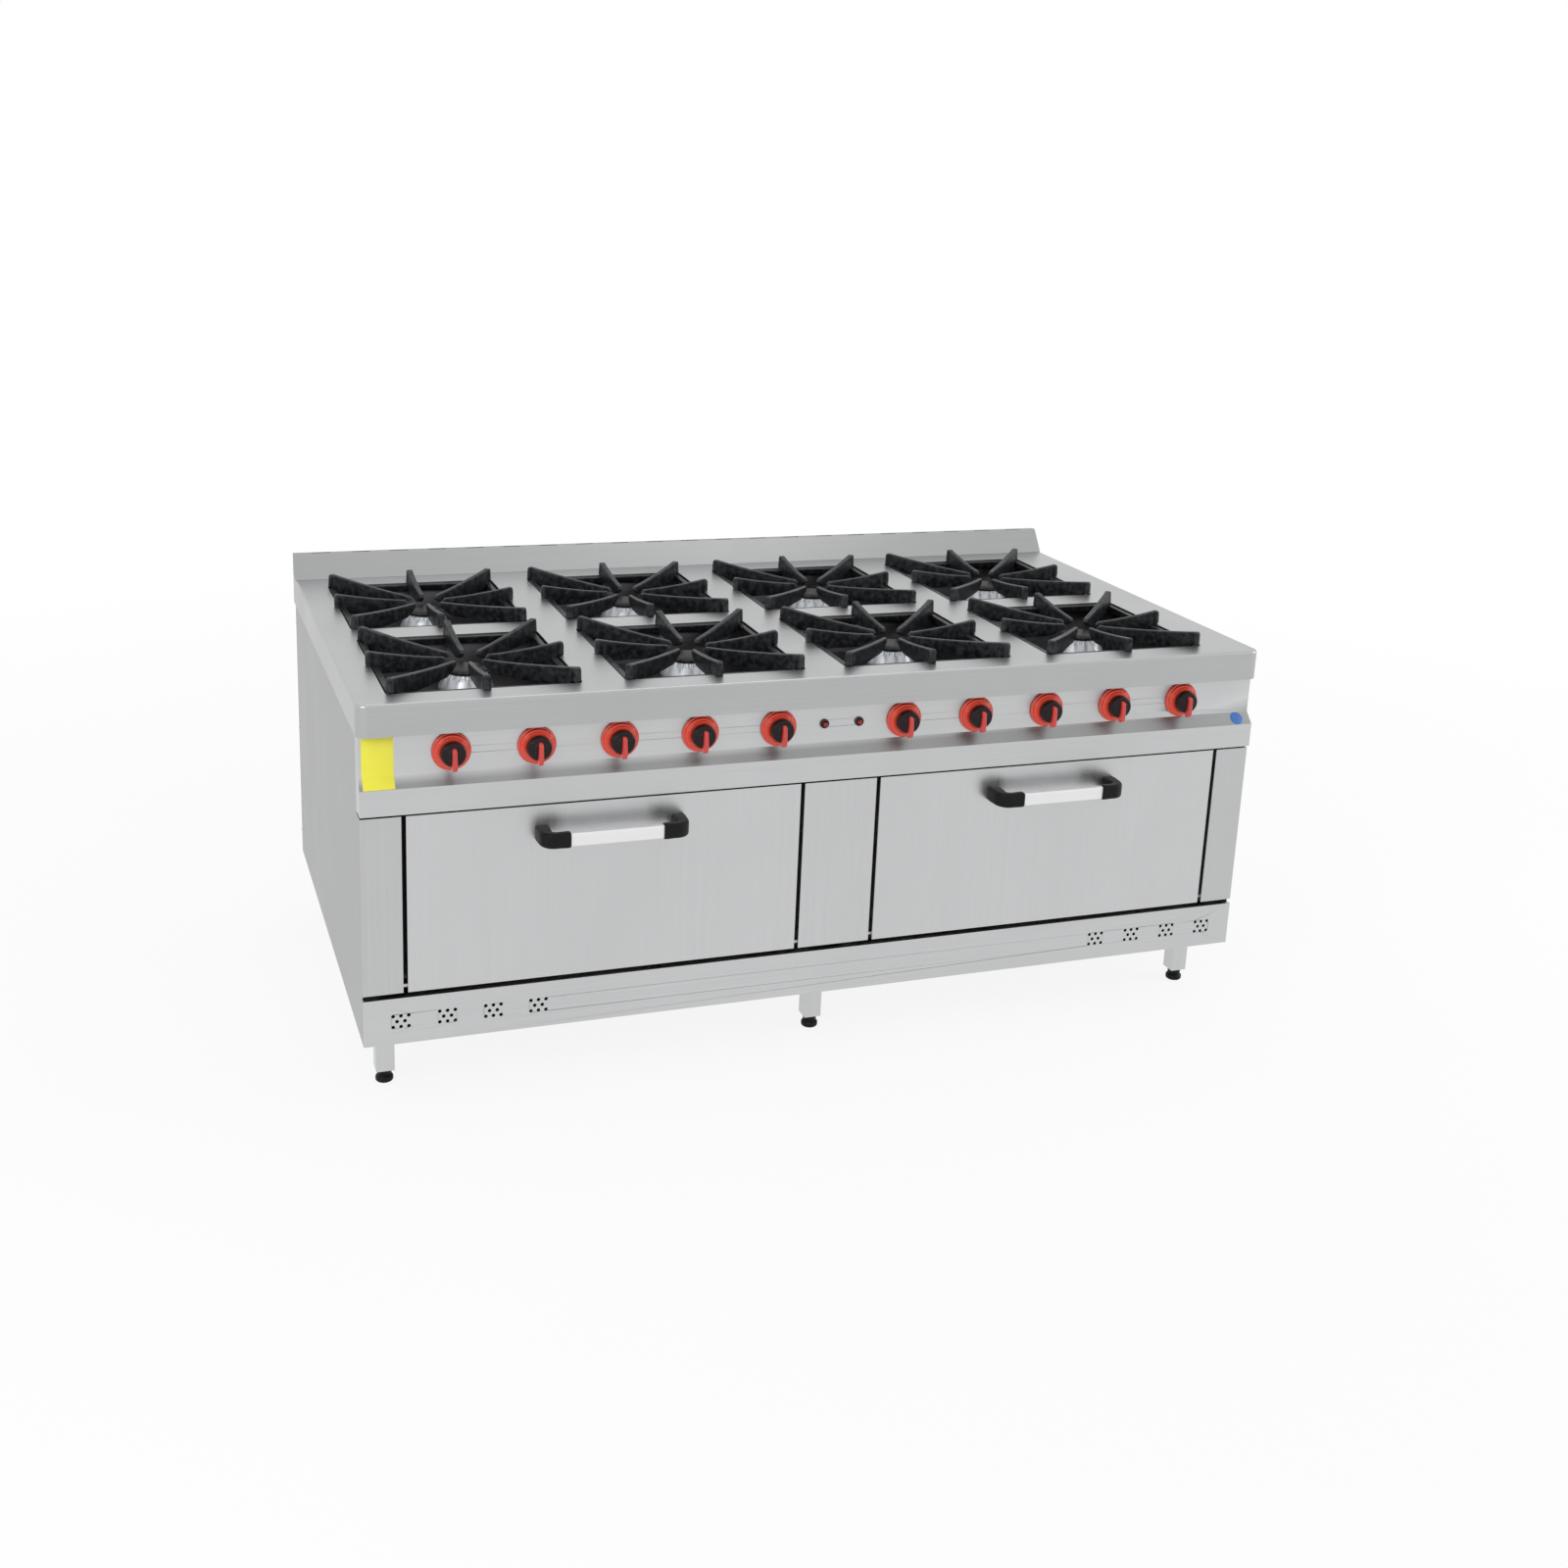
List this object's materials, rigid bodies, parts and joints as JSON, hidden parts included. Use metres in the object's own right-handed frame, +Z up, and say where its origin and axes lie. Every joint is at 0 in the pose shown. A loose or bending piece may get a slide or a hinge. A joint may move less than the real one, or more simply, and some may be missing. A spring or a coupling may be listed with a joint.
{
  "type": "commercial gas range",
  "caption": "Restaurant gas range: open burners under lift-off grates, a knob panel, drop-down oven doors with bar handles, a vented plinth and levelling feet.",
  "frame": {"origin": "floor level under the centre of the overall length and depth", "axes": "+X along the front towards its right end, +Y from the front to the back, +Z up"},
  "size_m": [1.8, 1.05, 0.812],
  "materials": {
    "stainless_sheet": "fine brushed",
    "worktop_steel": "fine brushed",
    "galvanised_sheet": "galvanised",
    "frame_steel": "primed",
    "pin_steel": "ground",
    "red_bezel": "gloss red",
    "valve_brass": "machined",
    "gas_pipe_steel": "black pipe",
    "feed_pipe": "drawn",
    "burner_casting": "cast",
    "cap_iron": "matt enamel",
    "tray_steel": "dark enamel",
    "oven_enamel": "speckled enamel",
    "burner_tube_steel": "mill finish",
    "foot_plastic": "matt black",
    "grate_iron": "matt enamel",
    "knob_plastic": "dark centre, red grip",
    "button_plastic": "gloss red",
    "bar_aluminium": "satin",
    "bracket_plastic": "matt black",
    "rack_chrome": "bright wire"
  },
  "bodies": {
    "range_body": {"left_side_panel": "stainless_sheet", "right_side_panel": "stainless_sheet", "worktop": "worktop_steel", "splashback": "stainless_sheet", "control_panel": "stainless_sheet", "plinth_panel": "stainless_sheet", "centre_panel": "stainless_sheet", "back_panel": "galvanised_sheet", "base_tray": "galvanised_sheet", "chassis_frame": "frame_steel", "legs": "stainless_sheet", "door_hinge_pins": "pin_steel", "control_bezels": "red_bezel", "gas_valves": "valve_brass", "gas_manifold": "gas_pipe_steel", "burner_feed_pipes": "feed_pipe", "burner_bodies": "burner_casting", "burner_caps": "cap_iron", "spill_trays": "tray_steel", "rack_runners": "oven_enamel", "oven_flues": "galvanised_sheet", "oven_burners": "burner_tube_steel", "left_oven_cavity": "oven_enamel", "right_oven_cavity": "oven_enamel"},
    "foot_1": {"foot_1": "foot_plastic"},
    "foot_2": {"foot_2": "foot_plastic"},
    "foot_3": {"foot_3": "foot_plastic"},
    "foot_4": {"foot_4": "foot_plastic"},
    "foot_5": {"foot_5": "foot_plastic"},
    "foot_6": {"foot_6": "foot_plastic"},
    "grate_1": {"grate_1": "grate_iron"},
    "grate_2": {"grate_2": "grate_iron"},
    "grate_3": {"grate_3": "grate_iron"},
    "grate_4": {"grate_4": "grate_iron"},
    "grate_5": {"grate_5": "grate_iron"},
    "grate_6": {"grate_6": "grate_iron"},
    "grate_7": {"grate_7": "grate_iron"},
    "grate_8": {"grate_8": "grate_iron"},
    "knob_1": {"knob_1": "knob_plastic"},
    "knob_2": {"knob_2": "knob_plastic"},
    "knob_3": {"knob_3": "knob_plastic"},
    "knob_4": {"knob_4": "knob_plastic"},
    "knob_5": {"knob_5": "knob_plastic"},
    "knob_6": {"knob_6": "knob_plastic"},
    "knob_7": {"knob_7": "knob_plastic"},
    "knob_8": {"knob_8": "knob_plastic"},
    "knob_9": {"knob_9": "knob_plastic"},
    "knob_10": {"knob_10": "knob_plastic"},
    "igniter_button_left": {"igniter_button_left": "button_plastic"},
    "left_door": {"left_door_outer": "stainless_sheet", "left_door_liner": "oven_enamel", "left_handle_bar": "bar_aluminium", "left_handle_brackets": "bracket_plastic"},
    "left_rack": {"left_oven_rack": "rack_chrome"},
    "igniter_button_right": {"igniter_button_right": "button_plastic"},
    "right_door": {"right_door_outer": "stainless_sheet", "right_door_liner": "oven_enamel", "right_handle_bar": "bar_aluminium", "right_handle_brackets": "bracket_plastic"},
    "right_rack": {"right_oven_rack": "rack_chrome"}
  },
  "joints": [
    {"name": "left_door_hinge", "type": "hinge", "parent": "range_body", "child": "left_door", "pos_m": [-0.449, -0.459, 0.231], "axis": [1, 0, 0], "range_deg": [0, 90]},
    {"name": "left_rack_slide", "type": "slide", "parent": "range_body", "child": "left_rack", "axis": [0, -1, 0], "range_m": [0, 0.26]},
    {"name": "left_igniter_press", "type": "slide", "parent": "range_body", "child": "igniter_button_left", "axis": [0, 1, 0], "range_m": [0, 0.004], "stiffness_N_per_m": 800},
    {"name": "right_door_hinge", "type": "hinge", "parent": "range_body", "child": "right_door", "pos_m": [0.449, -0.459, 0.231], "axis": [1, 0, 0], "range_deg": [0, 90]},
    {"name": "right_rack_slide", "type": "slide", "parent": "range_body", "child": "right_rack", "axis": [0, -1, 0], "range_m": [0, 0.26]},
    {"name": "right_igniter_press", "type": "slide", "parent": "range_body", "child": "igniter_button_right", "axis": [0, 1, 0], "range_m": [0, 0.004], "stiffness_N_per_m": 800},
    {"name": "knob_1_turn", "type": "hinge", "parent": "range_body", "child": "knob_1", "pos_m": [-0.735, -0.475, 0.665], "axis": [0, -1, 0], "range_deg": [0, 210]},
    {"name": "knob_2_turn", "type": "hinge", "parent": "range_body", "child": "knob_2", "pos_m": [-0.583, -0.475, 0.665], "axis": [0, -1, 0], "range_deg": [0, 210]},
    {"name": "knob_3_turn", "type": "hinge", "parent": "range_body", "child": "knob_3", "pos_m": [-0.431, -0.475, 0.665], "axis": [0, -1, 0], "range_deg": [0, 270]},
    {"name": "knob_4_turn", "type": "hinge", "parent": "range_body", "child": "knob_4", "pos_m": [-0.279, -0.475, 0.665], "axis": [0, -1, 0], "range_deg": [0, 210]},
    {"name": "knob_5_turn", "type": "hinge", "parent": "range_body", "child": "knob_5", "pos_m": [-0.127, -0.475, 0.665], "axis": [0, -1, 0], "range_deg": [0, 210]},
    {"name": "knob_6_turn", "type": "hinge", "parent": "range_body", "child": "knob_6", "pos_m": [0.127, -0.475, 0.665], "axis": [0, -1, 0], "range_deg": [0, 210]},
    {"name": "knob_7_turn", "type": "hinge", "parent": "range_body", "child": "knob_7", "pos_m": [0.279, -0.475, 0.665], "axis": [0, -1, 0], "range_deg": [0, 210]},
    {"name": "knob_8_turn", "type": "hinge", "parent": "range_body", "child": "knob_8", "pos_m": [0.431, -0.475, 0.665], "axis": [0, -1, 0], "range_deg": [0, 270]},
    {"name": "knob_9_turn", "type": "hinge", "parent": "range_body", "child": "knob_9", "pos_m": [0.583, -0.475, 0.665], "axis": [0, -1, 0], "range_deg": [0, 210]},
    {"name": "knob_10_turn", "type": "hinge", "parent": "range_body", "child": "knob_10", "pos_m": [0.735, -0.475, 0.665], "axis": [0, -1, 0], "range_deg": [0, 210]},
    {"name": "grate_1_lift", "type": "slide", "parent": "range_body", "child": "grate_1", "axis": [0, 0, 1], "range_m": [0, 0.12]},
    {"name": "grate_2_lift", "type": "slide", "parent": "range_body", "child": "grate_2", "axis": [0, 0, 1], "range_m": [0, 0.12]},
    {"name": "grate_3_lift", "type": "slide", "parent": "range_body", "child": "grate_3", "axis": [0, 0, 1], "range_m": [0, 0.12]},
    {"name": "grate_4_lift", "type": "slide", "parent": "range_body", "child": "grate_4", "axis": [0, 0, 1], "range_m": [0, 0.12]},
    {"name": "grate_5_lift", "type": "slide", "parent": "range_body", "child": "grate_5", "axis": [0, 0, 1], "range_m": [0, 0.12]},
    {"name": "grate_6_lift", "type": "slide", "parent": "range_body", "child": "grate_6", "axis": [0, 0, 1], "range_m": [0, 0.12]},
    {"name": "grate_7_lift", "type": "slide", "parent": "range_body", "child": "grate_7", "axis": [0, 0, 1], "range_m": [0, 0.12]},
    {"name": "grate_8_lift", "type": "slide", "parent": "range_body", "child": "grate_8", "axis": [0, 0, 1], "range_m": [0, 0.12]},
    {"name": "foot_1_level", "type": "slide", "parent": "range_body", "child": "foot_1", "axis": [0, 0, -1], "range_m": [0, 0.02]},
    {"name": "foot_2_level", "type": "slide", "parent": "range_body", "child": "foot_2", "axis": [0, 0, -1], "range_m": [0, 0.02]},
    {"name": "foot_3_level", "type": "slide", "parent": "range_body", "child": "foot_3", "axis": [0, 0, -1], "range_m": [0, 0.02]},
    {"name": "foot_4_level", "type": "slide", "parent": "range_body", "child": "foot_4", "axis": [0, 0, -1], "range_m": [0, 0.02]},
    {"name": "foot_5_level", "type": "slide", "parent": "range_body", "child": "foot_5", "axis": [0, 0, -1], "range_m": [0, 0.02]},
    {"name": "foot_6_level", "type": "slide", "parent": "range_body", "child": "foot_6", "axis": [0, 0, -1], "range_m": [0, 0.02]}
  ],
  "couplings": [
    {"joint": "left_rack_slide", "follows": "left_door_hinge", "m_per_rad": 0.15915},
    {"joint": "right_rack_slide", "follows": "right_door_hinge", "m_per_rad": 0.15915}
  ]
}
